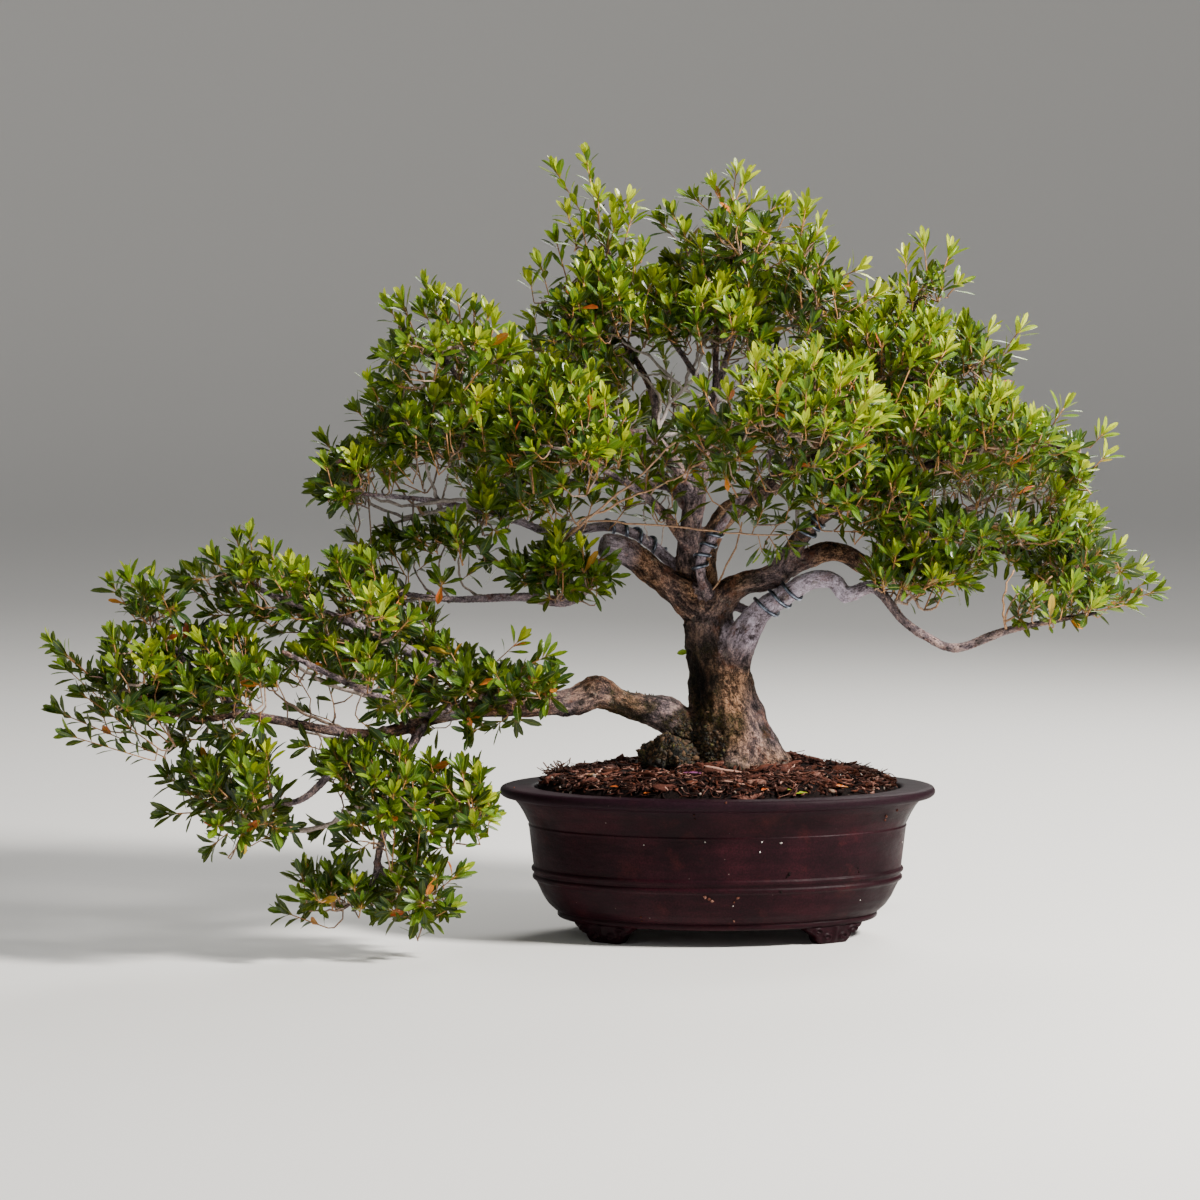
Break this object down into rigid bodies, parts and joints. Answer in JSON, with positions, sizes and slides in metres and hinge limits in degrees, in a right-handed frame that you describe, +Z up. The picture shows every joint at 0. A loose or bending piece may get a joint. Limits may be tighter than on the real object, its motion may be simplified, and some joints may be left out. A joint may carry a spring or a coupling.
{
  "type": "satsuki azalea bonsai",
  "caption": "Potted satsuki azalea bonsai: flared trunk, wide leafy crown, low branch cascading left, oval brown clay pot with feet.",
  "frame": {"origin": "middle of the bounding box, on the plane that the pot's feet stand on", "axes": "+Z up, +X along the crown's long way towards the upper right side, +Y towards the back of the tree"},
  "size_m": [1.0268, 0.5034, 0.751],
  "materials": {
    "pot_clay": "unglazed dark purple-brown clay, satin",
    "bark_mulch_soil": "loose shredded bark over potting soil",
    "bark": "grey-brown bark, mottled, flaking",
    "moss": "short dull green-brown moss",
    "training_wire": "dark anodised aluminium wire",
    "drainage_screen": "black plastic mesh",
    "azalea_leaf": "small leathery leaves, slightly glossy"
  },
  "bodies": {
    "root": {"drainage_screen_left": "drainage_screen", "drainage_screen_right": "drainage_screen", "foliage_apex_crown": "azalea_leaf", "foliage_apex_left": "azalea_leaf", "foliage_apex_middle": "azalea_leaf", "foliage_apex_right": "azalea_leaf", "foliage_apex_shoots": "azalea_leaf", "foliage_back_centre": "azalea_leaf", "foliage_back_crown": "azalea_leaf", "foliage_back_left": "azalea_leaf", "foliage_back_low_left": "azalea_leaf", "foliage_back_right": "azalea_leaf", "foliage_cascade_back": "azalea_leaf", "foliage_cascade_crest": "azalea_leaf", "foliage_cascade_foot_left": "azalea_leaf", "foliage_cascade_foot_right": "azalea_leaf", "foliage_cascade_inner": "azalea_leaf", "foliage_cascade_left": "azalea_leaf", "foliage_cascade_lower": "azalea_leaf", "foliage_cascade_lower_left": "azalea_leaf", "foliage_cascade_middle": "azalea_leaf", "foliage_cascade_right": "azalea_leaf", "foliage_cascade_tip": "azalea_leaf", "foliage_cascade_tuft": "azalea_leaf", "foliage_cascade_upper": "azalea_leaf", "foliage_far_right": "azalea_leaf", "foliage_front_mass": "azalea_leaf", "foliage_left_crest": "azalea_leaf", "foliage_left_front": "azalea_leaf", "foliage_left_hang": "azalea_leaf", "foliage_left_low": "azalea_leaf", "foliage_left_shoulder": "azalea_leaf", "foliage_left_tip": "azalea_leaf", "foliage_left_under": "azalea_leaf", "foliage_right_crest": "azalea_leaf", "foliage_right_end": "azalea_leaf", "foliage_right_fringe": "azalea_leaf", "foliage_right_front": "azalea_leaf", "foliage_right_low": "azalea_leaf", "foliage_right_middle": "azalea_leaf", "foliage_right_shoulder": "azalea_leaf", "foliage_right_tip": "azalea_leaf", "foliage_right_tuft": "azalea_leaf", "foliage_right_upper": "azalea_leaf", "moss_patch": "moss", "pot": "pot_clay", "soil": "bark_mulch_soil", "training_wire_centre": "training_wire", "training_wire_left": "training_wire", "training_wire_right_high": "training_wire", "training_wire_right_low": "training_wire", "trunk_and_branches": "bark"}
  },
  "joints": []
}
